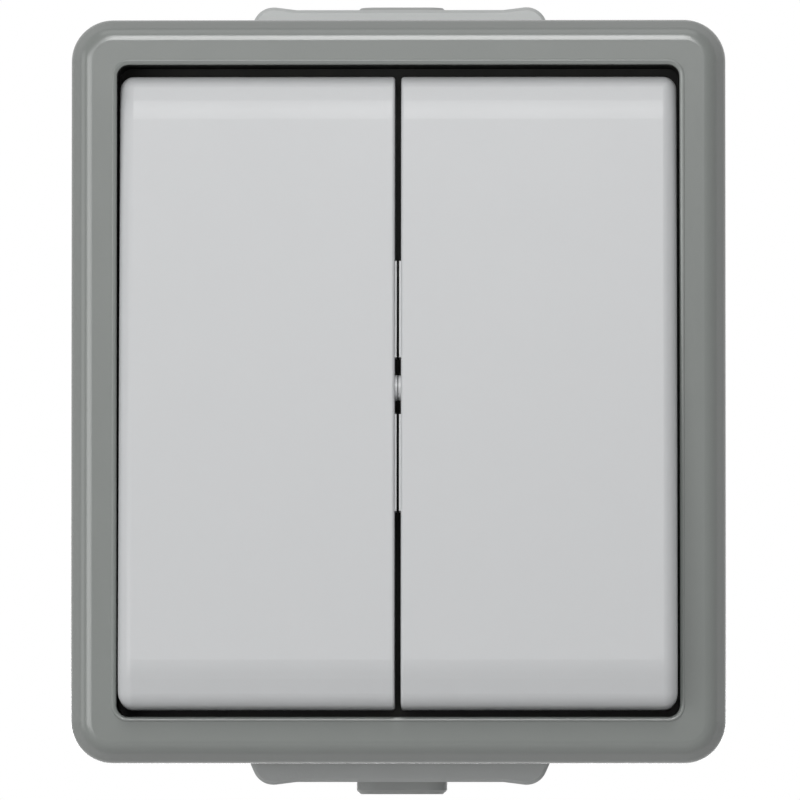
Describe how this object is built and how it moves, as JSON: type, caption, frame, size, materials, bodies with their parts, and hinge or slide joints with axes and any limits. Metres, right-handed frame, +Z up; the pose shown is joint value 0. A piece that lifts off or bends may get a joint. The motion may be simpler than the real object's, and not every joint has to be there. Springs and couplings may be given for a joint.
{
  "type": "surface-mounted light switch",
  "caption": "Surface-mounted splash-proof light switch: grey cover frame on a light grey wall box with hooded cable entries, and paired tilting rockers over sprung contacts.",
  "frame": {"origin": "on the wall plane, behind the centre of the cover frame", "axes": "+Z up, +X to the right seen from the front, the rockers face -Y and the wall is at +Y"},
  "size_m": [0.066, 0.0456, 0.0816],
  "materials": {
    "rocker_light": "satin light grey moulded plastic",
    "frame_grey": "satin mid grey moulded plastic",
    "housing_light": "fine-textured light grey moulded plastic",
    "grommet_grey": "soft grey elastomer",
    "seal_black": "soft black elastomer",
    "insert_cream": "off-white moulded insulating plastic",
    "mechanism_white": "natural white moulded plastic",
    "contact_brass": "stamped brass strip",
    "contact_silver": "silver contact alloy",
    "spring_steel": "drawn spring wire",
    "clamp_steel": "zinc-plated steel"
  },
  "bodies": {
    "root": {"base_box": "housing_light", "cover_frame": "frame_grey", "box_gasket": "seal_black", "rocker_seal": "seal_black", "top_grommet": "grommet_grey", "bottom_grommet": "grommet_grey", "insert_body": "insert_cream", "bearing_plate": "mechanism_white", "feed_busbar": "contact_brass", "feed_clamp": "clamp_steel", "left_clamp": "clamp_steel", "right_clamp": "clamp_steel", "terminal_screws": "clamp_steel", "insert_screws": "clamp_steel", "cover_screws": "clamp_steel", "fixed_rivets": "contact_silver", "left_fixed_contact": "contact_brass", "right_fixed_contact": "contact_brass"},
    "left_rocker": {"left_rocker": "rocker_light", "left_cradle": "mechanism_white", "left_spring": "spring_steel"},
    "left_plunger": {"left_plunger": "mechanism_white"},
    "left_lever": {"left_lever": "contact_brass", "left_moving_rivet": "contact_silver"},
    "right_rocker": {"right_rocker": "rocker_light", "right_cradle": "mechanism_white", "right_spring": "spring_steel"},
    "right_plunger": {"right_plunger": "mechanism_white"},
    "right_lever": {"right_lever": "contact_brass", "right_moving_rivet": "contact_silver"}
  },
  "joints": [
    {"name": "left_rocker_tilt", "type": "hinge", "parent": "root", "child": "left_rocker", "pos_m": [-0.01418, -0.0375, -0.00038], "axis": [1, 0, 0], "range_deg": [0, 9]},
    {"name": "left_plunger_slide", "type": "slide", "parent": "left_rocker", "child": "left_plunger", "axis": [0, -0.9969, 0.0785], "range_m": [0, 0.0012], "stiffness_N_per_m": 300, "springref_m": -0.002, "deforming": ["left_spring"]},
    {"name": "left_lever_rock", "type": "hinge", "parent": "root", "child": "left_lever", "pos_m": [-0.01418, -0.0221, -0.00038], "axis": [1, 0, 0], "range_deg": [-12, 0]},
    {"name": "right_rocker_tilt", "type": "hinge", "parent": "root", "child": "right_rocker", "pos_m": [0.01418, -0.0375, -0.00038], "axis": [1, 0, 0], "range_deg": [0, 9]},
    {"name": "right_plunger_slide", "type": "slide", "parent": "right_rocker", "child": "right_plunger", "axis": [0, -0.9969, 0.0785], "range_m": [0, 0.0012], "stiffness_N_per_m": 300, "springref_m": -0.002, "deforming": ["right_spring"]},
    {"name": "right_lever_rock", "type": "hinge", "parent": "root", "child": "right_lever", "pos_m": [0.01418, -0.0221, -0.00038], "axis": [1, 0, 0], "range_deg": [-12, 0]}
  ],
  "couplings": [
    {"joint": "left_lever_rock", "follows": "left_rocker_tilt", "ratio": -1.3333},
    {"joint": "right_lever_rock", "follows": "right_rocker_tilt", "ratio": -1.3333}
  ]
}
